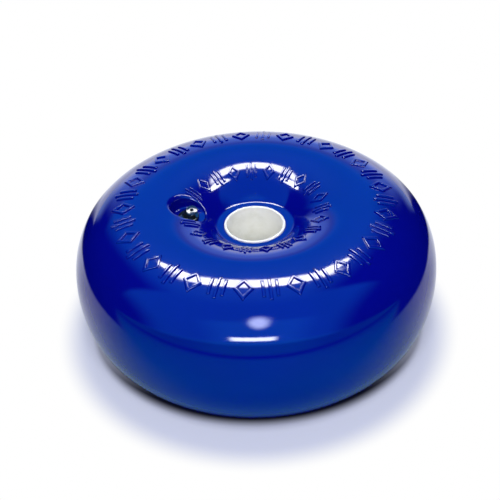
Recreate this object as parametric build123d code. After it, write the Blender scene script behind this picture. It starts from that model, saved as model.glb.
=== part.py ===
"""Inflated vinyl dock bumper wheel with a rigid hub sleeve and an inflation valve.

Lengths are millimetres. The origin is the centre of the wheel on its axle, +Z runs along the
axle through the marked side, and the valve pocket lies towards -X. The wheel is a sealed air
bag that nothing opens, so its inside is solid.
"""
from build123d import *
from math import asin, cos, degrees, sin, tan
import os

# The wheel's outside. The two runs say how far the surface keeps near its full width on the
# side, and near its full diameter on the tread, before the shoulder turns away.
wheel_diameter = 228.6
wheel_width = 96.0
crest_diameter = 127.0
side_run = 29.7
tread_run = 34.4

# The hub, where the vinyl ends on a flat land round the sleeve
hub_length = 62.5
land_width = 5.0
mouth_edge = 0.8

# The rigid sleeve
bore_diameter = 35.0
sleeve_wall = 1.6
sleeve_stand = 0.5

# The valve pocket, as deep below the crest of the side
pocket_distance = 41.0
pocket_angle = 177.0
pocket_diameter = 22.0
pocket_depth = 11.5

# The valve plug
neck_diameter = 6.0
neck_length = 6.0
flange_diameter = 13.0
flange_thickness = 1.8
ring_diameter = 7.6
ring_height = 5.0
needle_diameter = 1.6
needle_depth = 7.0

# The raised marks of the upper side: open lozenges and radial bars by turns
mark_height = 0.9
outer_mark_count = 34
outer_mark_start = 73.4
outer_mark_length = 15.2
outer_mark_width = 12.0
outer_mark_stroke = 2.0
inner_mark_count = 21
inner_mark_start = 35.6
inner_mark_length = 11.8
inner_mark_width = 8.0
inner_mark_stroke = 1.5
inner_mark_gap = 4.5

# Sizes that follow from those above
rim_radius = wheel_diameter / 2
half_width = wheel_width / 2
crest_radius = crest_diameter / 2
sleeve_radius = bore_diameter / 2 + sleeve_wall
land_height = hub_length / 2
land_edge = sleeve_radius + land_width
floor_height = half_width - pocket_depth
pocket_place = Pos(Vector(pocket_distance, 0).rotate(Axis.Z, pocket_angle))


def flank():
    """Draw the dish from the hub land to the crest, along an arc that ends level."""
    run = crest_radius - land_edge
    rise = half_width - land_height
    radius = (run**2 + rise**2) / (2 * rise)
    turn = asin(run / radius)
    handle = 4 / 3 * tan(turn / 4) * radius
    return Bezier(
        (land_edge, land_height),
        (land_edge + handle * cos(turn), land_height + handle * sin(turn)),
        (crest_radius - handle, half_width),
        (crest_radius, half_width),
    )


def shoulder():
    """Draw the curve that leaves the crest level and meets the middle of the tread upright."""
    return Bezier(
        (crest_radius, half_width),
        (crest_radius + side_run, half_width),
        (rim_radius, tread_run),
        (rim_radius, 0),
    )


def outer_form():
    """Turn both sides round the axle, with the hub lands and the hole for the sleeve."""
    land = Polyline((land_edge, land_height), (sleeve_radius, land_height), (sleeve_radius, 0))
    upper = flank() + shoulder() + land
    form = revolve(Plane.XZ * make_face(upper + mirror(upper, Plane.XZ)), Axis.Z)
    hole = form.edges().filter_by(GeomType.CIRCLE).filter_by(
        lambda edge: abs(edge.radius - sleeve_radius) < 0.01
    )
    return chamfer(hole, mouth_edge)


def upright(diameter, low, high):
    """Make a cylinder at the pocket's place between two heights."""
    align = (Align.CENTER, Align.CENTER, Align.MIN)
    return pocket_place * Pos(0, 0, low) * Cylinder(diameter / 2, high - low, align=align)


def valve_pocket():
    """Make the space of the pocket, and below its floor the hole that the valve's neck fills."""
    pocket = upright(pocket_diameter, floor_height, wheel_width)
    return pocket + upright(neck_diameter, floor_height - neck_length, wheel_width)


def lozenge(length, width, stroke):
    """Draw one open lozenge, long along X."""
    corners = (length / 2, 0), (0, width / 2), (-length / 2, 0), (0, -width / 2)
    outline = make_face(Polyline(*corners, close=True))
    return outline - offset(outline, -stroke, kind=Kind.INTERSECTION)


def mark_ring(count, first, sweep, start, length, width, stroke):
    """Draw bars and open lozenges by turns along one ring, each pointing at the axle."""
    bar = Rectangle(length, stroke)
    diamond = lozenge(length, width, stroke)
    step = sweep / count
    marks = []
    for index in range(count):
        mark = diamond if index % 2 else bar
        marks.append(Rot(0, 0, first + index * step) * Pos(start + length / 2, 0) * mark)
    return marks


def raised_marks(outside):
    """Stand both rings of marks on the upper side, with their tops along its curve."""
    outer_ring = mark_ring(
        outer_mark_count,
        0,
        360,
        outer_mark_start,
        outer_mark_length,
        outer_mark_width,
        outer_mark_stroke,
    )
    clear = pocket_diameter / 2 + inner_mark_gap
    half_gap = degrees(asin(clear / pocket_distance))
    spaces = inner_mark_count - 1
    inner_ring = mark_ring(
        inner_mark_count,
        pocket_angle + half_gap,
        (360 - 2 * half_gap) * inner_mark_count / spaces,
        inner_mark_start,
        inner_mark_length,
        inner_mark_width,
        inner_mark_stroke,
    )
    posts = extrude(Sketch() + outer_ring + inner_ring, wheel_width)
    return posts & (Pos(0, 0, mark_height) * outside)


def wheel_body():
    """Build the one-piece moulding."""
    outside = outer_form()
    return outside + raised_marks(outside) - valve_pocket()


def hub_sleeve():
    """Build the tube that the axle runs in, proud of both hub lands."""
    length = hub_length + 2 * sleeve_stand
    return Cylinder(sleeve_radius, length) - Cylinder(bore_diameter / 2, length)


def inflation_valve():
    """Turn the plug that sits on the pocket's floor: neck, flange and ring round the needle hole."""
    top = flange_thickness + ring_height
    section = Polyline(
        (0, top - needle_depth),
        (needle_diameter / 2, top - needle_depth),
        (needle_diameter / 2, top),
        (ring_diameter / 2, top),
        (ring_diameter / 2, flange_thickness),
        (flange_diameter / 2, flange_thickness),
        (flange_diameter / 2, 0),
        (neck_diameter / 2, 0),
        (neck_diameter / 2, -neck_length),
        (0, -neck_length),
        close=True,
    )
    plug = revolve(Plane.XZ * make_face(section), Axis.Z)
    return pocket_place * Pos(0, 0, floor_height) * plug


os.makedirs("parts", exist_ok=True)
export_step(wheel_body(), "parts/wheel_body.step")
export_step(hub_sleeve(), "parts/hub_sleeve.step")
export_step(inflation_valve(), "parts/inflation_valve.step")
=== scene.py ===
"""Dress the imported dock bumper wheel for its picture.

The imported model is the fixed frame, and every piece is modelled in metres in that frame. The
wheel lies on its side on the floor, +Z is up along its axle, and its valve pocket is towards -X.
"""
import logging
from dataclasses import dataclass
from enum import Enum
from functools import cached_property
from math import asin, atan2, cos, hypot, pi, radians, sin, tan
from typing import Callable

import bmesh
import bpy
import numpy as np
from mathutils import Euler, Matrix, Vector


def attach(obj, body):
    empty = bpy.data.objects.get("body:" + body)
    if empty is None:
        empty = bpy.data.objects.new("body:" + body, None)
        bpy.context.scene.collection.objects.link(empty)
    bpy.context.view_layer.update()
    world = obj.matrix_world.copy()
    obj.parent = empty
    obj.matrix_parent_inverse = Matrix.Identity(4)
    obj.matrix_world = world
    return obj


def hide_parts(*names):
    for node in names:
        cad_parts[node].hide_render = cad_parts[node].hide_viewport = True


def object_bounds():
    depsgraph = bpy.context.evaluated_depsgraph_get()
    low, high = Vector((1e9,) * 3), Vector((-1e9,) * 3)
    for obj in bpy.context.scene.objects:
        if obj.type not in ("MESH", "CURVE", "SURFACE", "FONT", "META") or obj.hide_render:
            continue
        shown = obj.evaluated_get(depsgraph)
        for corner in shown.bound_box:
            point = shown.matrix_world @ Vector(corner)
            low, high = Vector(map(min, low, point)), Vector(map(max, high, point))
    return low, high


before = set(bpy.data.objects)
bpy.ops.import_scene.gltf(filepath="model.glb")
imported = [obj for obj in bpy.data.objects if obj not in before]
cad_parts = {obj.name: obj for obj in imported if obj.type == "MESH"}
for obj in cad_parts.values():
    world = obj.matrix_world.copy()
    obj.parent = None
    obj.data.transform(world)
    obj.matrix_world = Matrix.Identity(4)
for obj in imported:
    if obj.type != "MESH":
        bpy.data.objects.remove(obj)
cad_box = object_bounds()

log = logging.getLogger("dock_bumper_wheel")

MM = 0.001

# A Bezier handle of this share of the way to a corner makes a near round turn
ROUND_HANDLE = 0.56

SMOOTH = {"interpolation_type": "SMOOTHSTEP"}

# Places nearer than this are one place
WELD = 0.001 * MM

# A rounded corner of a turned section has this many points
CORNER_POINTS = 6

# Edges that turn less than this are shaded round
SHADE_ANGLE = radians(50)

Point = tuple[float, float]


class Slot(Enum):
    """The record's material slots."""

    VINYL = "vinyl"
    SLEEVE = "sleeve"
    VALVE = "valve"


def linear(colour: str) -> tuple[float, float, float, float]:
    """Turn an sRGB hex colour into Blender's linear one.

    Args:
        colour: Six hex digits, with or without a leading hash.

    Returns:
        Linear red, green, blue and an alpha of one.
    """
    digits = colour.lstrip("#")
    channels = []
    for start in (0, 2, 4):
        value = int(digits[start:start + 2], 16) / 255
        channels.append(value / 12.92 if value <= 0.04045 else ((value + 0.055) / 1.055) ** 2.4)
    return (channels[0], channels[1], channels[2], 1.0)


def add_node(
    tree: bpy.types.NodeTree,
    kind: str,
    settings: dict | None = None,
    inputs: dict | None = None,
) -> bpy.types.Node:
    """Add a node with its settings, socket values and links.

    Args:
        tree: The node tree that takes the node.
        kind: The node's type name.
        settings: Attributes of the node, by name.
        inputs: Values or output sockets for the node's inputs, by name or number.

    Returns:
        The new node.
    """
    node = tree.nodes.new(kind)
    for name, value in (settings or {}).items():
        setattr(node, name, value)
    for name, value in (inputs or {}).items():
        if isinstance(value, bpy.types.NodeSocket):
            tree.links.new(value, node.inputs[name])
        else:
            node.inputs[name].default_value = value
    return node


def new_material(name: str) -> tuple[bpy.types.Material, bpy.types.NodeTree]:
    """Make an empty node material.

    Args:
        name: The material's name.

    Returns:
        The material and its cleared node tree.
    """
    material = bpy.data.materials.new(name)
    material.use_nodes = True
    material.node_tree.nodes.clear()
    return material, material.node_tree


class Bench:
    """The modelling bench: small steps on the object that is being worked on."""

    @staticmethod
    def clear() -> None:
        """Leave edit mode and deselect everything."""
        if bpy.context.object and bpy.context.object.mode != "OBJECT":
            bpy.ops.object.mode_set(mode="OBJECT")
        bpy.ops.object.select_all(action="DESELECT")

    @staticmethod
    def hold(piece: bpy.types.Object) -> None:
        """Make one object the only selected and active one.

        Args:
            piece: The object.
        """
        Bench.clear()
        piece.select_set(True)
        bpy.context.view_layer.objects.active = piece

    @staticmethod
    def edit(piece: bpy.types.Object) -> None:
        """Open an object in edit mode with nothing selected.

        Args:
            piece: The object.
        """
        Bench.hold(piece)
        bpy.ops.object.mode_set(mode="EDIT")
        bpy.ops.mesh.select_all(action="DESELECT")

    @staticmethod
    def pick(piece: bpy.types.Object, kind: str, test: Callable[..., bool]) -> None:
        """Select the vertices, edges or faces that pass a test, and no others.

        Args:
            piece: The object in edit mode.
            kind: VERT, EDGE or FACE.
            test: Says of a vertex, an edge or a face whether it is wanted.
        """
        bpy.ops.mesh.select_mode(type=kind)
        mesh = bmesh.from_edit_mesh(piece.data)
        parts = {"VERT": mesh.verts, "EDGE": mesh.edges, "FACE": mesh.faces}[kind]
        for part in parts:
            part.select_set(False)
        for part in parts:
            if test(part):
                part.select_set(True)
        bmesh.update_edit_mesh(piece.data)

    @staticmethod
    def move_picked(piece: bpy.types.Object, place: Callable[[Vector], Vector]) -> None:
        """Move every selected vertex to a new place.

        Args:
            piece: The object in edit mode.
            place: Gives a vertex's new place from its old one.
        """
        mesh = bmesh.from_edit_mesh(piece.data)
        for vertex in mesh.verts:
            if vertex.select:
                vertex.co = place(vertex.co)
        bmesh.update_edit_mesh(piece.data)

    @staticmethod
    def apply(piece: bpy.types.Object, kind: str, **settings: object) -> None:
        """Add a modifier, set it and apply it.

        Args:
            piece: The object that takes the modifier.
            kind: The modifier's type name.
            **settings: Attributes of the modifier.
        """
        Bench.hold(piece)
        modifier = piece.modifiers.new(kind.title(), kind)
        for name, value in settings.items():
            setattr(modifier, name, value)
        bpy.ops.object.modifier_apply(modifier=modifier.name)

    @staticmethod
    def close(piece: bpy.types.Object) -> None:
        """Merge doubles, turn the faces outwards and leave edit mode.

        Args:
            piece: The object.
        """
        Bench.edit(piece)
        bpy.ops.mesh.select_all(action="SELECT")
        bpy.ops.mesh.remove_doubles(threshold=WELD)
        bpy.ops.mesh.normals_make_consistent(inside=False)
        bpy.ops.object.mode_set(mode="OBJECT")

    @staticmethod
    def turned(points: list[Point], steps: int, name: str) -> bpy.types.Object:
        """Turn a section round the axle.

        Args:
            points: The section's radii and heights, in order.
            steps: How many steps make the full turn.
            name: The piece's name.

        Returns:
            The turned piece, closed and with its faces outwards.
        """
        Bench.clear()
        bpy.ops.mesh.primitive_circle_add(vertices=len(points), radius=1, fill_type="NOTHING")
        piece = bpy.context.object
        for vertex, (radius, height) in zip(piece.data.vertices, points):
            vertex.co = (radius, 0, height)
        if points[0][0] < WELD and points[-1][0] < WELD:
            Bench.edit(piece)
            Bench.pick(piece, "EDGE", lambda edge: all(v.co.x < WELD for v in edge.verts))
            bpy.ops.mesh.delete(type="EDGE")
        Bench.edit(piece)
        bpy.ops.mesh.select_all(action="SELECT")
        bpy.ops.mesh.spin(steps=steps, angle=2 * pi, center=(0, 0, 0), axis=(0, 0, 1), dupli=False)
        Bench.close(piece)
        piece.name = name
        piece.data.name = name
        return piece

    @staticmethod
    def copy(piece: bpy.types.Object, name: str, matrix: Matrix) -> bpy.types.Object:
        """Copy an object with its own mesh and put the copy's place in that mesh.

        Args:
            piece: The object that is copied.
            name: The copy's name.
            matrix: Where the copy goes.

        Returns:
            The copy, at the origin and unturned.
        """
        twin = piece.copy()
        twin.data = piece.data.copy()
        twin.name = name
        twin.data.name = name
        twin.data.transform(matrix)
        bpy.context.scene.collection.objects.link(twin)
        return twin

    @staticmethod
    def join(pieces: list[bpy.types.Object], name: str) -> bpy.types.Object:
        """Join objects into the first of them and name the result.

        Args:
            pieces: The objects.
            name: The name of the joined object.

        Returns:
            The joined object.
        """
        Bench.hold(pieces[0])
        for piece in pieces:
            piece.select_set(True)
        bpy.ops.object.join()
        pieces[0].name = name
        pieces[0].data.name = name
        return pieces[0]


def bezier_weights(share: float) -> tuple[float, float, float, float]:
    """Find what each of a cubic Bezier curve's four points weighs at a share of its parameter."""
    rest = 1 - share
    return rest**3, 3 * share * rest**2, 3 * share**2 * rest, share**3


def bezier_point(points: tuple[Point, Point, Point, Point], share: float) -> Point:
    """Find a point of a cubic Bezier curve.

    Args:
        points: The curve's two ends and two handles, in order.
        share: The point's share of the curve's parameter.

    Returns:
        The point.
    """
    weights = bezier_weights(share)
    return tuple(
        sum(weight * point[axis] for weight, point in zip(weights, points)) for axis in range(2)
    )


def bezier_rest(points: tuple[Point, Point, Point, Point], share: float) -> tuple[Point, ...]:
    """Cut the first share off a cubic Bezier curve.

    Args:
        points: The curve's two ends and two handles, in order.
        share: The parameter at which the kept rest starts.

    Returns:
        The four points of the rest.
    """
    def between(first: Point, second: Point) -> Point:
        """Find the point at the share between two points."""
        return tuple(a + (b - a) * share for a, b in zip(first, second))

    first, second, third = (between(points[i], points[i + 1]) for i in range(3))
    upper, lower = between(second, third), between(first, second)
    return between(lower, upper), upper, third, points[3]


class Finish:
    """A patterned finish, made from the same few parts whatever it is made of."""

    name: str
    ior: float

    def surface(
        self, tree: bpy.types.NodeTree, place: bpy.types.NodeSocket
    ) -> tuple[bpy.types.NodeSocket, bpy.types.NodeSocket | float, bpy.types.NodeSocket]:
        """Make what the shader is given.

        Args:
            tree: The material's node tree.
            place: The place on the piece.

        Returns:
            The colour, the roughness and the normal.
        """
        raise NotImplementedError

    def material(self) -> bpy.types.Material:
        """Make the finish's material.

        Returns:
            The material.
        """
        material, tree = new_material(self.name)
        place = add_node(tree, "ShaderNodeTexCoord").outputs["Object"]
        colour, roughness, normal = self.surface(tree, place)
        shader = add_node(
            tree,
            "ShaderNodeBsdfPrincipled",
            inputs={"Base Color": colour, "IOR": self.ior, "Roughness": roughness, "Normal": normal},
        )
        add_node(tree, "ShaderNodeOutputMaterial", inputs={"Surface": shader.outputs["BSDF"]})
        return material


@dataclass(frozen=True)
class FlexibleVinyl(Finish):
    """Blue plasticised PVC, rotationally moulded in a polished mould."""

    name: str = "blue_pvc_vinyl_moulded_gloss"
    colour: str = "#02088C"
    deep_colour: str = "#020680"
    ior: float = 1.53
    polished: float = 0.055
    handled: float = 0.095

    def surface(
        self, tree: bpy.types.NodeTree, place: bpy.types.NodeSocket
    ) -> tuple[bpy.types.NodeSocket, bpy.types.NodeSocket, bpy.types.NodeSocket]:
        """Make the vinyl: a deep, wet-looking blue whose soft skin is never quite even.

        Args:
            tree: The material's node tree.
            place: The place on the piece.

        Returns:
            The colour, the roughness and the normal.
        """
        clouds, patches, swell, peel = (
            add_node(
                tree,
                "ShaderNodeTexNoise",
                inputs={"Vector": place, "Scale": 1 / width, "Detail": detail, "Roughness": rough},
            ).outputs["Fac"]
            for width, detail, rough in (
                # The pigment settles in slow clouds, which only just shows
                (35 * MM, 3.0, 0.5),
                # Hands leave patches where the gloss is a little duller
                (20 * MM, 4.0, 0.6),
                # The soft skin swells slowly, under a fine orange peel
                (14 * MM, 2.0, 0.4),
                (1.2 * MM, 1.0, 0.4),
            )
        )
        pigment = add_node(
            tree,
            "ShaderNodeMix",
            {"data_type": "RGBA"},
            {0: clouds, 6: linear(self.deep_colour), 7: linear(self.colour)},
        )
        gloss = add_node(
            tree,
            "ShaderNodeMapRange",
            inputs={
                "Value": patches,
                "From Min": 0.35,
                "From Max": 0.70,
                "To Min": self.polished,
                "To Max": self.handled,
            },
        )
        waves = add_node(
            tree,
            "ShaderNodeBump",
            inputs={"Height": swell, "Strength": 0.12, "Distance": 0.25 * MM},
        )
        skin = add_node(
            tree,
            "ShaderNodeBump",
            inputs={
                "Height": peel,
                "Strength": 0.10,
                "Distance": 0.012 * MM,
                "Normal": waves.outputs["Normal"],
            },
        )
        return pigment.outputs[2], gloss.outputs["Result"], skin.outputs["Normal"]


@dataclass(frozen=True)
class SatinPvc(Finish):
    """White rigid PVC tube, extruded."""

    name: str = "white_pvc_tube_extruded_satin"
    colour: str = "#FCFCF6"
    worn_colour: str = "#ECECE2"
    ior: float = 1.54
    roughness: float = 0.32

    def surface(
        self, tree: bpy.types.NodeTree, place: bpy.types.NodeSocket
    ) -> tuple[bpy.types.NodeSocket, float, bpy.types.NodeSocket]:
        """Make the sleeve's plastic: warm white with a soft sheen and faint drawn lines.

        Args:
            tree: The material's node tree.
            place: The place on the piece.

        Returns:
            The colour, the roughness and the normal.
        """
        # The die draws lines along the tube, about 0.6 mm apart and drawn out over 120 mm
        drawn = add_node(
            tree,
            "ShaderNodeMapping",
            inputs={"Vector": place, "Scale": (1 / (0.6 * MM), 1 / (0.6 * MM), 1 / (120 * MM))},
        )
        lines = add_node(
            tree,
            "ShaderNodeTexNoise",
            inputs={"Vector": drawn.outputs[0], "Scale": 1.0, "Detail": 2.0, "Roughness": 0.5},
        )
        # The axle leaves soft grey rub marks in bands about 9 mm across
        rub = add_node(
            tree,
            "ShaderNodeTexNoise",
            inputs={"Vector": place, "Scale": 1 / (9 * MM), "Detail": 4.0, "Roughness": 0.6},
        )
        soil = add_node(
            tree,
            "ShaderNodeMapRange",
            inputs={"Value": rub.outputs["Fac"], "From Min": 0.42, "From Max": 0.75},
        )
        tone = add_node(
            tree,
            "ShaderNodeMix",
            {"data_type": "RGBA"},
            {0: soil.outputs["Result"], 6: linear(self.colour), 7: linear(self.worn_colour)},
        )
        bump = add_node(
            tree,
            "ShaderNodeBump",
            inputs={"Height": lines.outputs["Fac"], "Strength": 0.25, "Distance": 0.03 * MM},
        )
        return tone.outputs[2], self.roughness, bump.outputs["Normal"]


@dataclass(frozen=True)
class ValveRubber(Finish):
    """Dark butyl rubber, moulded smooth."""

    name: str = "dark_butyl_rubber_moulded"
    colour: str = "#0C1216"
    bloom_colour: str = "#1C252B"
    ior: float = 1.52
    roughness: float = 0.10

    def surface(
        self, tree: bpy.types.NodeTree, place: bpy.types.NodeSocket
    ) -> tuple[bpy.types.NodeSocket, float, bpy.types.NodeSocket]:
        """Make the valve's rubber: near black and wet-looking, with a faint grey bloom.

        Args:
            tree: The material's node tree.
            place: The place on the piece.

        Returns:
            The colour, the roughness and the normal.
        """
        # Rubber blooms in greyish patches about 3 mm across
        patches = add_node(
            tree,
            "ShaderNodeTexNoise",
            inputs={"Vector": place, "Scale": 1 / (3 * MM), "Detail": 3.0, "Roughness": 0.55},
        )
        tone = add_node(
            tree,
            "ShaderNodeMix",
            {"data_type": "RGBA"},
            {0: patches.outputs["Fac"], 6: linear(self.colour), 7: linear(self.bloom_colour)},
        )
        # The mould's own grain, about 0.4 mm
        grain = add_node(
            tree,
            "ShaderNodeTexNoise",
            inputs={"Vector": place, "Scale": 1 / (0.4 * MM), "Detail": 1.0, "Roughness": 0.5},
        )
        bump = add_node(
            tree,
            "ShaderNodeBump",
            inputs={"Height": grain.outputs["Fac"], "Strength": 0.15, "Distance": 0.01 * MM},
        )
        return tone.outputs[2], self.roughness, bump.outputs["Normal"]


def rounded_corner(centre: Point, radius: float, first: float, last: float) -> list[Point]:
    """List the points of an arc round a centre between two angles in degrees."""
    turns = [radians(turn) for turn in np.linspace(first, last, CORNER_POINTS)]
    return [(centre[0] + radius * cos(turn), centre[1] + radius * sin(turn)) for turn in turns]


def seat(piece: bpy.types.Object, node: str, slot: Slot, finish: Finish) -> None:
    """Finish a piece and put it in the place of its CAD node.

    Args:
        piece: The modelled piece.
        node: The CAD node whose place it takes.
        slot: The record's material slot, which is not used.
        finish: What gives the piece its material.
    """
    Bench.hold(piece)
    bpy.ops.object.shade_smooth_by_angle(angle=SHADE_ANGLE)
    piece.data.materials.clear()
    piece.data.materials.append(finish.material())
    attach(piece, "root")
    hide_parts(node)
    log.info("%s: %d faces", piece.name, len(piece.data.polygons))


@dataclass(frozen=True)
class WheelSection:
    """The section of the inflated moulding, from the hub to the middle of the tread."""

    # A hundredth of a millimetre under the source's, which keeps the tread inside the CAD box
    rim_radius: float = 114.29 * MM
    half_width: float = 48.0 * MM
    crest_radius: float = 63.5 * MM
    side_run: float = 29.7 * MM
    tread_run: float = 34.4 * MM
    sleeve_radius: float = 19.1 * MM
    land_width: float = 5.0 * MM
    land_height: float = 31.25 * MM
    mouth_round: float = 0.8 * MM
    crease_round: float = 1.6 * MM
    segments: tuple[int, ...] = (6, 6, 3, 10, 46, 60)
    sample_count: int = 400

    @property
    def land_edge(self) -> float:
        """Where the flat land meets the flank."""
        return self.sleeve_radius + self.land_width

    def flank(self) -> tuple[Point, Point, Point, Point]:
        """Find the flank's Bezier curve.

        Returns:
            The curve's four points, from the land to the crest.
        """
        run = self.crest_radius - self.land_edge
        rise = self.half_width - self.land_height
        radius = (run**2 + rise**2) / (2 * rise)
        turn = asin(run / radius)
        handle = 4 / 3 * tan(turn / 4) * radius
        return (
            (self.land_edge, self.land_height),
            (self.land_edge + handle * cos(turn), self.land_height + handle * sin(turn)),
            (self.crest_radius - handle, self.half_width),
            (self.crest_radius, self.half_width),
        )

    def shoulder(self) -> tuple[Point, Point, Point, Point]:
        """Find the shoulder's Bezier curve.

        Returns:
            The curve's four points, from the crest to the middle of the tread.
        """
        return (
            (self.crest_radius, self.half_width),
            (self.crest_radius + self.side_run, self.half_width),
            (self.rim_radius, self.tread_run),
            (self.rim_radius, 0.0),
        )

    @cached_property
    def samples(self) -> tuple[np.ndarray, np.ndarray]:
        """Points all along the upper side, from the land to the tread.

        Returns:
            Their radii and their heights.
        """
        shares = np.linspace(0, 1, self.sample_count)
        points = [bezier_point(self.flank(), share) for share in shares]
        points += [bezier_point(self.shoulder(), share) for share in shares[1:]]
        return np.array([point[0] for point in points]), np.array([point[1] for point in points])

    def height_at(self, radius: float) -> float:
        """Find how high the upper side is at a distance from the axle."""
        radii, heights = self.samples
        return float(np.interp(radius, radii, heights))

    def outline(self) -> list[tuple[tuple[Point, ...], int]]:
        """Draw the upper half of the section as Bezier pieces.

        Returns:
            Each piece's four points and its number of segments, from the middle of the sleeve's
            hole to the middle of the tread.
        """
        def straight(start: Point, end: Point) -> tuple[Point, ...]:
            """Give a straight run the form of a Bezier piece.

            Args:
                start: Where the run starts.
                end: Where it ends.

            Returns:
                The piece's four points.
            """
            third = tuple((b - a) / 3 for a, b in zip(start, end))
            return (
                start,
                (start[0] + third[0], start[1] + third[1]),
                (end[0] - third[0], end[1] - third[1]),
                end,
            )

        def corner(start: Point, at: Point, end: Point) -> tuple[Point, ...]:
            """Round a corner between a point before it and one after it.

            Args:
                start: The point before the corner.
                at: The corner.
                end: The point after the corner.

            Returns:
                The piece's four points.
            """
            first = tuple(a + ROUND_HANDLE * (b - a) for a, b in zip(start, at))
            second = tuple(a + ROUND_HANDLE * (b - a) for a, b in zip(end, at))
            return start, first, second, end

        mouth = (self.sleeve_radius, self.land_height)
        wall_top = (self.sleeve_radius, self.land_height - self.mouth_round)
        land_start = (self.sleeve_radius + self.mouth_round, self.land_height)
        crease = (self.land_edge, self.land_height)
        land_end = (self.land_edge - self.crease_round, self.land_height)
        flank = self.flank()
        reach = hypot(flank[1][0] - flank[0][0], flank[1][1] - flank[0][1])
        rest = bezier_rest(flank, self.crease_round / (3 * reach))
        pieces = (
            straight((self.sleeve_radius, 0.0), wall_top),
            corner(wall_top, mouth, land_start),
            straight(land_start, land_end),
            corner(land_end, crease, rest[0]),
            rest,
            self.shoulder(),
        )
        return list(zip(pieces, self.segments))


@dataclass(frozen=True)
class ValvePocket:
    """The round pocket in the upper flank that holds the inflation valve."""

    section: WheelSection
    distance: float = 41.0 * MM
    angle: float = radians(177.0)
    radius: float = 11.0 * MM
    floor_height: float = 36.5 * MM
    lip: float = 1.5 * MM
    lip_sway: float = 0.7
    lip_turn: float = radians(22.5)
    lip_steps: int = 8
    floor_round: float = 1.4 * MM
    floor_steps: int = 6

    @property
    def centre(self) -> Vector:
        """The pocket's axis where it meets the middle plane."""
        return Vector((self.distance * cos(self.angle), self.distance * sin(self.angle), 0))

    def away(self, place: Vector) -> float:
        """Measure how far a place lies from the pocket's axis."""
        return hypot(place.x - self.centre.x, place.y - self.centre.y)

    def lip_at(self, place: Vector) -> float:
        """Find the lip's radius in a place's direction: broad outwards and sharp by the hub."""
        turn = atan2(place.y - self.centre.y, place.x - self.centre.x)
        return self.lip * (1 - self.lip_sway * cos(turn + self.lip_turn))

    def ring_place(self, place: Vector, reach: float, height: float) -> Vector:
        """Find the place in the same direction from the axis, at a reach and a height."""
        turn = atan2(place.y - self.centre.y, place.x - self.centre.x)
        return Vector((self.centre.x + reach * cos(turn), self.centre.y + reach * sin(turn), height))

    def skin_place(self, place: Vector, reach: float) -> Vector:
        """Find the place in the same direction from the axis, at a reach, on the wheel's skin.

        Args:
            place: A place in the wanted direction.
            reach: The distance from the pocket's axis.

        Returns:
            The place on the skin.
        """
        flat = self.ring_place(place, reach, 0)
        flat.z = self.section.height_at(hypot(flat.x, flat.y))
        return flat

    def lip_place(self, place: Vector, share: float) -> Vector:
        """Find a place on the rounded lip.

        Args:
            place: A place in the wanted direction.
            share: How far down the lip, from the skin at 0 to the upright wall at 1.

        Returns:
            The place on the lip.
        """
        lip = self.lip_at(place)
        outer = self.skin_place(place, self.radius + lip)
        edge = self.skin_place(place, self.radius)
        wall = edge - Vector((0, 0, lip))
        knots = (outer, outer.lerp(edge, ROUND_HANDLE), wall.lerp(edge, ROUND_HANDLE), wall)
        weighted = [weight * knot for weight, knot in zip(bezier_weights(share), knots)]
        return sum(weighted, Vector((0, 0, 0)))

    def cut(self, skin: bpy.types.Object) -> None:
        """Open the skin over the pocket and draw its rim inwards and down to a closed floor.

        Args:
            skin: The spun skin, which gets the pocket.
        """
        opening = self.radius + self.lip * (1 + self.lip_sway)
        Bench.edit(skin)
        Bench.pick(
            skin,
            "FACE",
            lambda face: face.calc_center_median().z > 0
            and self.away(face.calc_center_median()) < opening
            and hypot(*face.calc_center_median().xy) > self.section.land_edge,
        )
        bpy.ops.mesh.delete(type="FACE")
        Bench.pick(skin, "EDGE", lambda edge: edge.is_boundary)
        Bench.move_picked(
            skin, lambda place: self.skin_place(place, self.radius + self.lip_at(place))
        )
        for step in range(1, self.lip_steps + 1):
            share = step / self.lip_steps
            bpy.ops.mesh.extrude_edges_move()
            Bench.move_picked(skin, lambda place: self.lip_place(place, share))
        walls = [(self.radius, self.floor_height + self.floor_round)]
        for step in range(1, self.floor_steps + 1):
            turn = step / self.floor_steps * pi / 2
            walls.append(
                (
                    self.radius - self.floor_round * (1 - cos(turn)),
                    self.floor_height + self.floor_round * (1 - sin(turn)),
                )
            )
        walls.append((self.radius / 2, self.floor_height))
        for reach, height in walls:
            bpy.ops.mesh.extrude_edges_move()
            Bench.move_picked(skin, lambda place: self.ring_place(place, reach, height))
        bpy.ops.mesh.edge_face_add()
        bpy.ops.object.mode_set(mode="OBJECT")


@dataclass(frozen=True)
class MarkRing:
    """One ring of raised marks: bars and open lozenges by turns."""

    count: int
    first: float
    step: float
    start: float
    length: float
    width: float
    stroke: float


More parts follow.
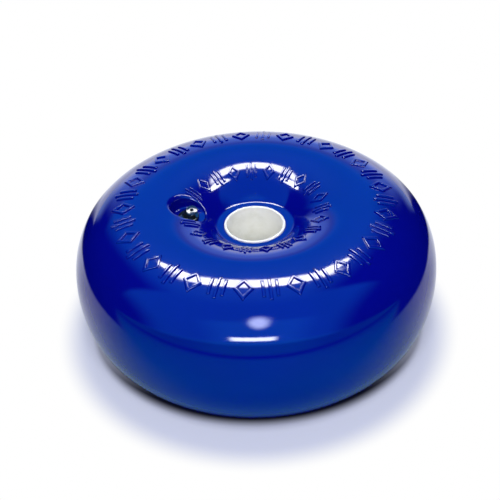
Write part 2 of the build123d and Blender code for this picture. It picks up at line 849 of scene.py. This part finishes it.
@dataclass
class VinylMoulding:
    """The wheel's one-piece moulding with its pocket and raised marks."""

    section: WheelSection
    pocket: ValvePocket
    finish: FlexibleVinyl
    turn_steps: int = 300
    mark_height: float = 0.9 * MM
    mark_root: float = 0.8 * MM
    mark_round: float = 0.27
    mark_round_steps: int = 4
    mark_round_form: float = 0.55
    mark_run: float = 3 * MM
    mark_cuts: int = 7
    side_bar_share: float = 0.72
    outer_count: int = 34
    inner_count: int = 21
    pocket_gap: float = 4.5 * MM

    def profile(self) -> bpy.types.Object:
        """Draw the closed section in the XZ plane.

        Returns:
            The section as a mesh line.
        """
        Bench.clear()
        bpy.ops.curve.primitive_bezier_curve_add(location=(0, 0, 0))
        line = bpy.context.object
        line.data.splines.clear()
        for points, segments in self.section.outline():
            spline = line.data.splines.new("BEZIER")
            spline.resolution_u = segments
            spline.bezier_points.add(1)
            for knot, own, before, after in (
                (spline.bezier_points[0], points[0], points[0], points[1]),
                (spline.bezier_points[1], points[3], points[2], points[3]),
            ):
                knot.handle_left_type = "FREE"
                knot.handle_right_type = "FREE"
                knot.co = (own[0], 0, own[1])
                knot.handle_left = (before[0], 0, before[1])
                knot.handle_right = (after[0], 0, after[1])
        bpy.ops.object.convert(target="MESH")
        line = bpy.context.object
        settings = {"use_axis": (False, False, True), "use_clip": False, "merge_threshold": WELD}
        Bench.apply(line, "MIRROR", **settings)
        return line

    def skin(self) -> bpy.types.Object:
        """Spin the section round the axle and open the valve pocket in it.

        Returns:
            The skin, without its marks.
        """
        skin = self.profile()
        Bench.edit(skin)
        bpy.ops.mesh.select_all(action="SELECT")
        bpy.ops.mesh.remove_doubles(threshold=WELD)
        bpy.ops.mesh.spin(
            steps=self.turn_steps, angle=2 * pi, center=(0, 0, 0), axis=(0, 0, 1), dupli=False
        )
        Bench.close(skin)
        self.pocket.cut(skin)
        Bench.close(skin)
        return skin

    def rings(self) -> list[MarkRing]:
        """Lay out the marks as the source does.

        Returns:
            The outer ring and the inner one, which keeps clear of the pocket.
        """
        outer_step = 2 * pi / self.outer_count
        half_gap = asin((self.pocket.radius + self.pocket_gap) / self.pocket.distance)
        inner_first = self.pocket.angle + half_gap
        inner_step = (2 * pi - 2 * half_gap) / (self.inner_count - 1)
        return [
            MarkRing(
                self.outer_count,
                0.0,
                outer_step,
                start=73.4 * MM,
                length=15.2 * MM,
                width=12.0 * MM,
                stroke=2.0 * MM,
            ),
            MarkRing(
                self.inner_count,
                inner_first,
                inner_step,
                start=35.6 * MM,
                length=11.8 * MM,
                width=8.0 * MM,
                stroke=1.5 * MM,
            ),
        ]

    def bar(self, ring: MarkRing) -> bpy.types.Object:
        """Model one bar flat at the origin, long along X, with a shorter bar on either side.

        Args:
            ring: The ring that the bar belongs to.

        Returns:
            The finished bar.
        """
        depth = self.mark_height + self.mark_root
        tick = ring.width / 3
        strokes = []
        for side, share in ((0, 1.0), (-tick, self.side_bar_share), (tick, self.side_bar_share)):
            Bench.clear()
            bpy.ops.mesh.primitive_cube_add(
                size=1,
                location=(0, side, depth / 2 - self.mark_root),
                scale=(share * ring.length, ring.stroke, depth),
            )
            stroke = bpy.context.object
            bpy.ops.object.transform_apply(location=True, rotation=True, scale=True)
            strokes.append(stroke)
        return self.rounded(Bench.join(strokes, "bar"), ring)

    def lozenge(self, ring: MarkRing) -> bpy.types.Object:
        """Model one open lozenge flat at the origin, long along X, with a rounded back.

        Args:
            ring: The ring that the lozenge belongs to.

        Returns:
            The finished lozenge.
        """
        Bench.clear()
        depth = self.mark_height + self.mark_root
        bpy.ops.mesh.primitive_circle_add(
            vertices=4, radius=1, fill_type="NGON", location=(0, 0, -self.mark_root)
        )
        mark = bpy.context.object
        mark.scale = (ring.length / 2, ring.width / 2, 1)
        bpy.ops.object.transform_apply(location=True, rotation=True, scale=True)
        Bench.edit(mark)
        bpy.ops.mesh.select_all(action="SELECT")
        bpy.ops.mesh.inset(thickness=ring.stroke, depth=0, use_even_offset=True)
        bpy.ops.mesh.delete(type="FACE")
        bpy.ops.mesh.select_all(action="SELECT")
        bpy.ops.mesh.extrude_region_move(TRANSFORM_OT_translate={"value": (0, 0, depth)})
        bpy.ops.object.mode_set(mode="OBJECT")
        Bench.close(mark)
        return self.rounded(mark, ring)

    def rounded(self, mark: bpy.types.Object, ring: MarkRing) -> bpy.types.Object:
        """Round a mark's upper edges and divide it so that it can follow the skin.

        Args:
            mark: The plain mark, flat at the origin.
            ring: The ring that the mark belongs to.

        Returns:
            The same mark, finished.
        """
        Bench.edit(mark)
        Bench.pick(
            mark,
            "EDGE",
            lambda edge: all(vertex.co.z > self.mark_height - WELD for vertex in edge.verts)
            and len({round(face.normal.z, 2) for face in edge.link_faces}) > 1,
        )
        bpy.ops.mesh.bevel(
            offset=ring.stroke * self.mark_round,
            segments=self.mark_round_steps,
            profile=self.mark_round_form,
            affect="EDGES",
            clamp_overlap=True,
        )
        Bench.pick(mark, "EDGE", lambda edge: edge.calc_length() > self.mark_run)
        bpy.ops.mesh.subdivide(number_cuts=self.mark_cuts)
        Bench.pick(mark, "FACE", lambda face: len(face.verts) > 4)
        bpy.ops.mesh.quads_convert_to_tris()
        bpy.ops.object.mode_set(mode="OBJECT")
        return mark

    def marks(self) -> list[bpy.types.Object]:
        """Copy the bars and lozenges round both rings and lay each on the skin.

        Returns:
            All the marks.
        """
        placed = []
        for number, ring in enumerate(self.rings()):
            kinds = (self.bar(ring), self.lozenge(ring))
            for index in range(ring.count):
                turn = Matrix.Rotation(ring.first + index * ring.step, 4, "Z")
                out = Matrix.Translation((ring.start + ring.length / 2, 0, 0))
                mark = Bench.copy(kinds[index % 2], f"mark_{number}_{index}", turn @ out)
                for vertex in mark.data.vertices:
                    vertex.co.z += self.section.height_at(hypot(vertex.co.x, vertex.co.y))
                placed.append(mark)
            for kind in kinds:
                bpy.data.objects.remove(kind)
        return placed

    def build(self) -> bpy.types.Object:
        """Make the moulding and put it in the place of the CAD node.

        Returns:
            The moulding.
        """
        skin = self.skin()
        moulding = Bench.join([skin, *self.marks()], "vinyl_moulding")
        seat(moulding, "wheel_body", Slot.VINYL, self.finish)
        return moulding


@dataclass
class HubSleeve:
    """The rigid tube that lines the hub, with both ends eased."""

    finish: SatinPvc
    outer_radius: float = 19.1 * MM
    bore_radius: float = 17.5 * MM
    length: float = 63.5 * MM
    ease: float = 0.4 * MM
    turn_steps: int = 180

    def build(self) -> bpy.types.Object:
        """Turn the tube and put it in the place of the CAD node.

        Returns:
            The tube.
        """
        half = self.length / 2
        outer, inner = self.outer_radius - self.ease, self.bore_radius + self.ease
        end = half - self.ease
        points = []
        for quarter, centre in enumerate(((outer, end), (inner, end), (inner, -end), (outer, -end))):
            points += rounded_corner(centre, self.ease, 90 * quarter, 90 * quarter + 90)
        tube = Bench.turned(points, self.turn_steps, "sleeve_tube")
        seat(tube, "hub_sleeve", Slot.SLEEVE, self.finish)
        return tube


@dataclass
class ValvePlug:
    """The inflation valve's plug: a neck, a flange and a nose that sits a little askew."""

    pocket: ValvePocket
    finish: ValveRubber
    neck_radius: float = 3.0 * MM
    neck_length: float = 6.0 * MM
    flange_radius: float = 6.5 * MM
    flange_thickness: float = 1.8 * MM
    nose_radius: float = 3.8 * MM
    nose_height: float = 5.0 * MM
    hole_radius: float = 0.8 * MM
    hole_depth: float = 7.0 * MM
    hole_lip: float = 0.55 * MM
    brow: float = 0.5 * MM
    root: float = 0.3 * MM
    flange_edge: float = 0.6 * MM
    slant: float = radians(14.5)
    lean_start: float = 0.05 * MM
    lean: float = 2.2 * MM
    dome: float = 24.0 * MM
    turn_steps: int = 72

    @property
    def top(self) -> float:
        """The height of the nose over the pocket's floor."""
        return self.flange_thickness + self.nose_height

    def section(self) -> list[Point]:
        """Draw the section that is turned.

        Returns:
            Its points, from the needle hole's bottom out and down to the neck's.
        """
        bottom = self.top - self.hole_depth
        mouth, shoulder = self.hole_radius + self.hole_lip, self.nose_radius - self.brow
        points = [(0.0, bottom), (self.hole_radius, bottom)]
        points += rounded_corner((mouth, self.top - self.hole_lip), self.hole_lip, 180, 90)
        inner_reaches = np.linspace(mouth, shoulder, CORNER_POINTS)[1:-1]
        points += [(float(reach), self.top) for reach in inner_reaches]
        points += rounded_corner((shoulder, self.top - self.brow), self.brow, 90, 0)
        foot = (self.nose_radius + self.root, self.flange_thickness + self.root)
        points += rounded_corner(foot, self.root, 180, 270)
        rim = (self.flange_radius - self.flange_edge, self.flange_thickness - self.flange_edge)
        points += rounded_corner(rim, self.flange_edge, 90, 0)
        points += [(self.flange_radius, 0.0), (self.neck_radius, 0.0)]
        points += [(self.neck_radius, -self.neck_length), (0.0, -self.neck_length)]
        return points

    def build(self) -> bpy.types.Object:
        """Turn the plug, slant its nose and put it in the place of the CAD node.

        Returns:
            The plug.
        """
        plug = Bench.turned(self.section(), self.turn_steps, "valve_plug")
        start = self.flange_thickness + self.lean_start
        Bench.edit(plug)
        Bench.pick(plug, "VERT", lambda vertex: vertex.co.z > start)

        def slanted(place: Vector) -> Vector:
            """Lean a place of the nose towards the hub, and dome and slant the nose's end.

            Args:
                place: The place on the upright nose.

            Returns:
                The place on the leaning one.
            """
            share = (place.z - start) / (self.top - start)
            drop = (self.nose_radius - place.y) * tan(self.slant)
            drop += (place.x**2 + place.y**2) / (2 * self.dome)
            return Vector((place.x + share * self.lean, place.y, place.z - share * drop))

        Bench.move_picked(plug, slanted)
        bpy.ops.object.mode_set(mode="OBJECT")
        plug.data.transform(
            Matrix.Translation(self.pocket.centre + Vector((0, 0, self.pocket.floor_height)))
        )
        seat(plug, "inflation_valve", Slot.VALVE, self.finish)
        return plug


@dataclass(frozen=True)
class StudioCamera:
    """The camera at the photograph's place."""

    distance: float = 0.6858
    elevation: float = radians(38.51)
    roll: float = radians(1.87)
    lens: float = 76.9
    sensor_width: float = 36.0
    shift: Point = (-0.0122, 0.0266)

    def place(self) -> bpy.types.Object:
        """Create the camera and make it the scene's own.

        Returns:
            The camera.
        """
        data = bpy.data.cameras.new("photo_camera")
        data.sensor_width = self.sensor_width
        data.lens = self.lens
        data.shift_x, data.shift_y = self.shift
        data.clip_start = 0.01
        data.clip_end = 50.0
        camera = bpy.data.objects.new("photo_camera", data)
        bpy.context.scene.collection.objects.link(camera)
        forward = Vector((0, cos(self.elevation), -sin(self.elevation)))
        right = Vector((1, 0, 0))
        up = right.cross(forward)
        tilted_right = right * cos(self.roll) - up * sin(self.roll)
        tilted_up = up * cos(self.roll) + right * sin(self.roll)
        matrix = Matrix((tilted_right, tilted_up, -forward)).transposed().to_4x4()
        matrix.translation = -forward * self.distance
        camera.matrix_world = matrix
        bpy.context.scene.camera = camera
        return camera


Place = tuple[float, float, float]

# An oval's radii of one metre, with which its shares are distances from the axle
BY_DISTANCE: Point = (1.0, 1.0)

# Where the softbox hangs over the wheel's far side, and what it points at
SOFTBOX_PLACE: Place = (-0.003, 0.209, 0.532)
SOFTBOX_AIM: Place = (-0.003, -0.160, 0.195)


def aimed(place: Place, target: Place) -> Euler:
    """Find the turn that points the front of a lamp or card at a target."""
    return (Vector(target) - Vector(place)).to_track_quat("-Z", "Y").to_euler()


def overlaid(
    tree: bpy.types.NodeTree,
    shader: bpy.types.NodeSocket,
    layers: list[tuple[float | bpy.types.NodeSocket, bpy.types.NodeSocket]],
) -> bpy.types.NodeSocket:
    """Lay shaders over a first one.

    Args:
        tree: The node tree.
        shader: The first shader.
        layers: Each further shader, after the share of it that covers what is below.

    Returns:
        The output socket of them all.
    """
    for share, layer in layers:
        mixed = add_node(tree, "ShaderNodeMixShader", inputs={0: share, 1: shader, 2: layer})
        shader = mixed.outputs[0]
    return shader


def across(
    tree: bpy.types.NodeTree, place: bpy.types.NodeSocket, radii: Point, edge: Point
) -> bpy.types.NodeSocket:
    """Make a value that changes smoothly from nought to one across the edge of an oval.

    Args:
        tree: The node tree.
        place: The place that is looked at.
        radii: The oval's radii along X and Y.
        edge: The shares of the radii that give nought and one, outwards or inwards.

    Returns:
        The value's output socket.
    """
    oval = add_node(
        tree,
        "ShaderNodeMapping",
        inputs={"Vector": place, "Scale": (1 / radii[0], 1 / radii[1], 0)},
    )
    reach = add_node(tree, "ShaderNodeVectorMath", {"operation": "LENGTH"}, {0: oval.outputs[0]})
    ends = {"From Min": edge[0], "From Max": edge[1]}
    step = add_node(tree, "ShaderNodeMapRange", SMOOTH, {"Value": reach.outputs["Value"], **ends})
    return step.outputs["Result"]


@dataclass(frozen=True)
class SoftLamp:
    """An area lamp that lights the surfaces and that neither gloss nor the camera shows."""

    name: str
    place: Place
    target: Place
    width: float
    height: float
    radiance: float

    def hang(self) -> None:
        """Hang the lamp and aim it."""
        data = bpy.data.lights.new(self.name, "AREA")
        data.shape = "ELLIPSE"
        data.size = self.width
        data.size_y = self.height
        data.energy = self.radiance * pi * pi / 4 * self.width * self.height
        lamp = bpy.data.objects.new(self.name, data)
        bpy.context.scene.collection.objects.link(lamp)
        lamp.location = self.place
        lamp.rotation_euler = aimed(self.place, self.target)
        lamp.visible_camera = False
        lamp.visible_glossy = False


@dataclass(frozen=True)
class GlowCard:
    """A soft-edged glowing oval that only gloss shows, as it shows a lamp's front."""

    name: str
    place: Place
    target: Place
    width: float
    height: float
    radiance: float
    soft: float = 0.2
    colour: str = "#FFFFFF"

    def glow(self) -> bpy.types.Material:
        """Make the card's glow, full in the middle and gone at the oval's edge.

        Returns:
            The glow's material.
        """
        material, tree = new_material(f"{self.name}_glow")
        place = add_node(tree, "ShaderNodeTexCoord").outputs["Object"]
        level = across(tree, place, (self.width / 2, self.height / 2), (1.0, 1 - self.soft))
        glow = add_node(
            tree,
            "ShaderNodeEmission",
            inputs={"Color": linear(self.colour), "Strength": self.radiance},
        )
        clear = add_node(tree, "ShaderNodeBsdfTransparent")
        both = overlaid(tree, clear.outputs[0], [(level, glow.outputs[0])])
        add_node(tree, "ShaderNodeOutputMaterial", inputs={"Surface": both})
        return material

    def hang(self) -> None:
        """Hang the card and aim it."""
        Bench.clear()
        bpy.ops.mesh.primitive_plane_add(size=1)
        card = bpy.context.object
        card.name = self.name
        card.scale = (self.width, self.height, 1)
        bpy.ops.object.transform_apply(location=False, rotation=False, scale=True)
        card.data.materials.append(self.glow())
        card.location = self.place
        card.rotation_euler = aimed(self.place, self.target)
        card.visible_camera = False
        card.visible_diffuse = False
        card.visible_shadow = False


@dataclass(frozen=True)
class Panel:
    """A soft-edged panel of the studio's surround, as the wheel's gloss mirrors it.

    Heights are angles from the far horizon over the top to the near horizon at 180 degrees, and
    side angles run from left to right. All are in degrees.
    """

    low: float
    high: float
    left: float
    right: float
    colour: str
    strength: float
    soft: float = 4.0
    side_soft: float = 6.0


@dataclass(frozen=True)
class Surround:
    """The room round the wheel: an even light, white for the camera and panels for gloss."""

    ambient: float = 0.27
    panels: tuple[Panel, ...] = (
        # The room's cool fill above and behind the camera
        Panel(80, 160, -62, 46, "#1A8AFF", 1.85, soft=6, side_soft=22),
        Panel(26, 80, -32, 20, "#1A8CFF", 1.9, soft=6, side_soft=18),
        Panel(42, 84, -20, 16, "#50A0FF", 0.5, soft=20, side_soft=24),
        Panel(118, 158, -24, 24, "#30A0FF", 0.9, soft=8, side_soft=20),
        # The lower wall behind the camera, lit by the table
        Panel(158, 178, -100, 100, "#00B090", 0.55, soft=8),
        Panel(156, 178, -30, 30, "#00B090", 0.45, soft=8, side_soft=30),
        # The far backdrop: cool at the sides, white in the middle and lavender higher up
        Panel(-12, 8, -36, 36, "#AACBFF", 1.3, soft=14, side_soft=6),
        Panel(-12, 8, -24, 24, "#FFE29E", 0.88, soft=14, side_soft=12),
        Panel(6, 24, -26, 26, "#7CA4FF", 2.2, soft=13, side_soft=16),
        # A lit strip behind the camera
        Panel(146.5, 153, -15, 9, "#F8FAFF", 22.0, soft=2, side_soft=4),
    )

    def window(
        self,
        tree: bpy.types.NodeTree,
        angle: bpy.types.NodeSocket,
        low: float,
        high: float,
        soft: float,
    ) -> bpy.types.NodeSocket:
        """Make a value that is one between two angles and falls smoothly to nought outside.

        Args:
            tree: The world's node tree.
            angle: The angle that is looked at.
            low: The lower angle.
            high: The higher angle.
            soft: How wide each edge is.

        Returns:
            The value's output socket.
        """
        edges = []
        for level, half in ((low, soft / 2), (high, -soft / 2)):
            ends = {"From Min": level - half, "From Max": level + half}
            step = add_node(tree, "ShaderNodeMapRange", SMOOTH, {"Value": angle, **ends})
            edges.append(step.outputs["Result"])
        both = add_node(tree, "ShaderNodeMath", {"operation": "MULTIPLY"}, dict(enumerate(edges)))
        return both.outputs[0]

    def degrees_of(
        self, tree: bpy.types.NodeTree, operation: str, inputs: dict
    ) -> bpy.types.NodeSocket:
        """Make an angle in degrees.

        Args:
            tree: The world's node tree.
            operation: The trigonometric operation that gives the angle.
            inputs: What the operation works on, by number.

        Returns:
            The angle's output socket.
        """
        angle = add_node(tree, "ShaderNodeMath", {"operation": operation}, inputs).outputs[0]
        turned = add_node(tree, "ShaderNodeMath", {"operation": "MULTIPLY"}, {0: angle, 1: 180 / pi})
        return turned.outputs[0]

    def mirrored(self, tree: bpy.types.NodeTree) -> bpy.types.NodeSocket:
        """Make the panels that gloss shows.

        Args:
            tree: The world's node tree.

        Returns:
            The output socket of all the panels together.
        """
        ray = add_node(tree, "ShaderNodeTexCoord").outputs["Generated"]
        parts = add_node(tree, "ShaderNodeSeparateXYZ", inputs={0: ray}).outputs
        height = self.degrees_of(tree, "ARCTAN2", {0: parts["Z"], 1: parts["Y"]})
        side = self.degrees_of(tree, "ARCSINE", {0: parts["X"]})
        total = add_node(tree, "ShaderNodeBackground", inputs={"Strength": 0.0}).outputs[0]
        for panel in self.panels:
            level = self.window(tree, height, panel.low, panel.high, panel.soft)
            wide = self.window(tree, side, panel.left, panel.right, panel.side_soft)
            for factor in (wide, panel.strength):
                scaled = add_node(
                    tree, "ShaderNodeMath", {"operation": "MULTIPLY"}, {0: level, 1: factor}
                )
                level = scaled.outputs[0]
            glow = add_node(
                tree,
                "ShaderNodeBackground",
                inputs={"Color": linear(panel.colour), "Strength": level},
            )
            added = add_node(tree, "ShaderNodeAddShader", inputs={0: total, 1: glow.outputs[0]})
            total = added.outputs[0]
        return total

    def build(self) -> None:
        """Put the surround round the wheel."""
        world = bpy.data.worlds.new("studio_surround")
        bpy.context.scene.world = world
        world.use_nodes = True
        tree = world.node_tree
        tree.nodes.clear()
        even, white = (
            add_node(
                tree,
                "ShaderNodeBackground",
                inputs={"Color": linear("#FFFFFF"), "Strength": strength},
            ).outputs[0]
            for strength in (self.ambient, 1.0)
        )
        path = add_node(tree, "ShaderNodeLightPath").outputs
        layers = [(path["Is Glossy Ray"], self.mirrored(tree)), (path["Is Camera Ray"], white)]
        add_node(tree, "ShaderNodeOutputWorld", inputs={"Surface": overlaid(tree, even, layers)})


@dataclass(frozen=True)
class StudioFloor:
    """The pale floor, with a shadow painted under the wheel, white further out and cooler where gloss
    shows it.

    Radii are from the axle and depths are along +Y, away from the camera. A pair gives the two
    places between which a change is made.
    """

    height: float
    size: float = 8.0
    colour: str = "#E8EEFF"
    painted_shade_colour: str = "#0C184C"
    painted_shade_tint_colour: str = "#C6CBE4"
    painted_shade_tint_share: float = 0.5
    shade_level: float = 0.01
    shade_radii: Point = (106.5 * MM, 93.8 * MM)
    shade_edge: Point = (0.96, 1.045)
    bore_radii: Point = (50 * MM, 24 * MM)
    lift_depths: Point = (-72 * MM, -25 * MM)
    lift: float = 0.6
    white_radii: Point = (113 * MM, 134 * MM)
    mirrored_depths: Point = (-150 * MM, 20 * MM)
    mirrored_tones: tuple[tuple[float, str], ...] = (
        (0.0, "#00ADCE"),
        (0.45, "#A2C8BC"),
        (1.0, "#ECF0FA"),
    )
    wedge_turn: float = 0.05
    wedge_slope: float = 0.77
    wedge_edge: Point = (-40 * MM, 40 * MM)
    front_depths: Point = (-80 * MM, -140 * MM)
    table_radii: Point = (370 * MM, 300 * MM)
    table_depths: Point = (170 * MM, 130 * MM)
    contact_radii: Point = (93 * MM, 114 * MM)
    painted_glow_depths: Point = (20 * MM, 140 * MM)
    painted_glow_strength: float = 1.4

    def painted_shadow_mask(self, tree: bpy.types.NodeTree, place: bpy.types.NodeSocket) -> bpy.types.NodeSocket:
        """Make a mask for the painted shadow: nought where the wheel shades the floor most and one
        outside.

        Args:
            tree: The floor's node tree.
            place: The place on the floor.

        Returns:
            The value's output socket.
        """
        level = across(tree, place, self.shade_radii, self.shade_edge)
        open_bore = across(tree, place, BY_DISTANCE, self.bore_radii)
        # The lamps behind leave the darkest part of the shade in front, so the painted shadow is lifted
        # further back
        depth = add_node(tree, "ShaderNodeSeparateXYZ", inputs={0: place}).outputs["Y"]
        ends = {"From Min": self.lift_depths[0], "From Max": self.lift_depths[1], "To Max": self.lift}
        lifted = add_node(tree, "ShaderNodeMapRange", SMOOTH, {"Value": depth, **ends})
        for other in (open_bore, lifted.outputs["Result"]):
            larger = add_node(tree, "ShaderNodeMath", {"operation": "MAXIMUM"}, {0: level, 1: other})
            level = larger.outputs[0]
        return level

    def lit_part(self, tree: bpy.types.NodeTree, place: bpy.types.NodeSocket) -> bpy.types.NodeSocket:
        """Make a value that is one where gloss shows the floor lit.

        That is a wedge behind the wheel, the table round it and all that lies in front, less a painted
        contact shadow at the wheel's foot.

        Args:
            tree: The floor's node tree.
            place: The place on the floor.

        Returns:
            The value's output socket.
        """
        parts = add_node(tree, "ShaderNodeSeparateXYZ", inputs={0: place}).outputs
        turned = add_node(
            tree,
            "ShaderNodeMath",
            {"operation": "MULTIPLY_ADD"},
            {0: parts["Y"], 1: self.wedge_turn, 2: parts["X"]},
        )
        aside = add_node(tree, "ShaderNodeMath", {"operation": "ABSOLUTE"}, {0: turned.outputs[0]})
        reach = add_node(
            tree, "ShaderNodeMath", {"operation": "MULTIPLY"}, {0: parts["Y"], 1: self.wedge_slope}
        )
        over = add_node(
            tree, "ShaderNodeMath", {"operation": "SUBTRACT"}, {0: reach.outputs[0], 1: aside.outputs[0]}
        )
        steps = []
        for value, edge in (
            (over.outputs[0], self.wedge_edge),
            (parts["Y"], self.front_depths),
            (parts["Y"], self.table_depths),
        ):
            ends = {"From Min": edge[0], "From Max": edge[1]}
            step = add_node(tree, "ShaderNodeMapRange", SMOOTH, {"Value": value, **ends})
            steps.append(step.outputs["Result"])
        wedge, front, near = steps
        level = across(tree, place, BY_DISTANCE, self.table_radii)
        # Gloss sees a painted contact shadow round the wheel's foot, dark within 93 mm of the axle
        contact = across(tree, place, BY_DISTANCE, self.contact_radii)
        for operation, other in (
            ("MULTIPLY", near),
            ("MAXIMUM", wedge),
            ("MAXIMUM", front),
            ("MULTIPLY", contact),
        ):
            joined = add_node(tree, "ShaderNodeMath", {"operation": operation}, {0: level, 1: other})
            level = joined.outputs[0]
        return level

    def mirrored(self, tree: bpy.types.NodeTree, place: bpy.types.NodeSocket) -> bpy.types.NodeSocket:
        """Make the floor as gloss shows it, with painted light and shade: white behind the wheel, cooler
        and dimmer in front.

        Args:
            tree: The floor's node tree.
            place: The place on the floor.

        Returns:
            The shader's output socket.
        """
        depth = add_node(tree, "ShaderNodeSeparateXYZ", inputs={0: place}).outputs["Y"]
        steps = []
        for edge in (self.mirrored_depths, self.painted_glow_depths):
            ends = {"From Min": edge[0], "From Max": edge[1]}
            step = add_node(tree, "ShaderNodeMapRange", SMOOTH, {"Value": depth, **ends})
            steps.append(step.outputs["Result"])
        ramp = add_node(tree, "ShaderNodeValToRGB", inputs={"Fac": steps[0]})
        ramp.color_ramp.elements.new(0.5)
        for element, (position, tone) in zip(ramp.color_ramp.elements, self.mirrored_tones):
            element.position = position
            element.color = linear(tone)
        colour = add_node(
            tree,
            "ShaderNodeVectorMath",
            {"operation": "SCALE"},
            {0: ramp.outputs["Color"], "Scale": self.lit_part(tree, place)},
        ).outputs[0]
        lit = add_node(tree, "ShaderNodeBsdfDiffuse", inputs={"Color": colour})
        # Behind the wheel a painted glow stands in for the backlight, which washes its shadow out
        painted_backlight_glow = add_node(
            tree, "ShaderNodeEmission", inputs={"Color": colour, "Strength": self.painted_glow_strength}
        )
        return overlaid(tree, lit.outputs[0], [(steps[1], painted_backlight_glow.outputs[0])])

    def material(self) -> bpy.types.Material:
        """Make the floor's material.

        Returns:
            The material.
        """
        material, tree = new_material("pale_studio_floor")
        place = add_node(tree, "ShaderNodeTexCoord").outputs["Object"]
        painted_shadow_mask = self.painted_shadow_mask(tree, place)
        # Under the wheel the board's colour darkens to a painted shadow
        tone = add_node(
            tree,
            "ShaderNodeMix",
            {"data_type": "RGBA"},
            {0: painted_shadow_mask, 6: linear(self.painted_shade_colour), 7: linear(self.colour)},
        )
        board = add_node(tree, "ShaderNodeBsdfDiffuse", inputs={"Color": tone.outputs[2]}).outputs[0]
        level = add_node(
            tree, "ShaderNodeMapRange", inputs={"Value": painted_shadow_mask, "To Min": self.shade_level}
        )
        # For the camera a glowing bluish-grey tint paints the shadow's tone over half the board, fading
        # to a near black glow at the wheel's foot
        painted_shade_tint, white = (
            add_node(
                tree, "ShaderNodeEmission", inputs={"Color": linear(glow), "Strength": strength}
            ).outputs[0]
            for glow, strength in ((self.painted_shade_tint_colour, level.outputs["Result"]), ("#FFFFFF", 1.0))
        )
        beyond = across(tree, place, BY_DISTANCE, self.white_radii)
        seen = overlaid(tree, board, [(self.painted_shade_tint_share, painted_shade_tint), (beyond, white)])
        path = add_node(tree, "ShaderNodeLightPath").outputs
        # From below the floor is clear, so that the wheel's underside can be looked at
        under = add_node(tree, "ShaderNodeNewGeometry").outputs["Backfacing"]
        clear = add_node(tree, "ShaderNodeBsdfTransparent").outputs[0]
        layers = [
            (path["Is Camera Ray"], seen),
            (path["Is Glossy Ray"], self.mirrored(tree, place)),
            (under, clear),
        ]
        surface = overlaid(tree, board, layers)
        add_node(tree, "ShaderNodeOutputMaterial", inputs={"Surface": surface})
        return material

    def build(self) -> bpy.types.Object:
        """Lay the floor under the wheel.

        Returns:
            The floor.
        """
        Bench.clear()
        bpy.ops.mesh.primitive_plane_add(size=self.size, location=(0, 0, self.height))
        floor = bpy.context.object
        bpy.ops.object.transform_apply(location=True, rotation=True, scale=True)
        floor.name = "pale_floor"
        floor.data.materials.append(self.material())
        return floor


@dataclass(frozen=True)
class Studio:
    """The floor, the surround, the lamps and what gloss shows of the lamps."""

    floor_height: float
    lamps: tuple[SoftLamp, ...] = (
        SoftLamp("softbox", SOFTBOX_PLACE, SOFTBOX_AIM, 0.54, 0.13, 6.8),
        SoftLamp("high_fill", (0, -0.60, 1.04), (0, 0, 0), 0.28, 0.28, 37.0),
        SoftLamp("front_fill", (0, -1.00, 0.62), (0, 0, 0), 0.30, 0.20, 13.0),
    )
    cards: tuple[GlowCard, ...] = (
        GlowCard("softbox_front", SOFTBOX_PLACE, SOFTBOX_AIM, 0.50, 0.126, 24.0, soft=0.35),
        GlowCard("softbox_left", (-0.107, 0.096, 0.292), (0, 0, 0.03), 0.042, 0.105, 24.0),
        GlowCard("softbox_right", (0.100, 0.091, 0.292), (0, 0, 0.03), 0.042, 0.105, 24.0),
        GlowCard(
            "ceiling_lamp",
            (0.003, -0.269, 0.321),
            (0.003, -0.0988, 0.0379),
            0.092,
            0.176,
            16.5,
            soft=0.7,
            colour="#C8D4FF",
        ),
    )

    def build(self) -> None:
        """Set up the whole studio."""
        Surround().build()
        StudioFloor(self.floor_height).build()
        for light in self.lamps + self.cards:
            light.hang()


def main() -> None:
    """Build every piece in order and report each one."""
    logging.basicConfig(level=logging.INFO, format="%(name)s: %(message)s")
    section = WheelSection()
    pocket = ValvePocket(section)
    VinylMoulding(section, pocket, FlexibleVinyl()).build()
    HubSleeve(SatinPvc()).build()
    ValvePlug(pocket, ValveRubber()).build()
    Studio(cad_box[0][2]).build()
    StudioCamera().place()
    scene = bpy.context.scene
    scene.view_settings.view_transform = "Standard"
    bpy.context.view_layer.update()


if __name__ == "__main__":
    main()
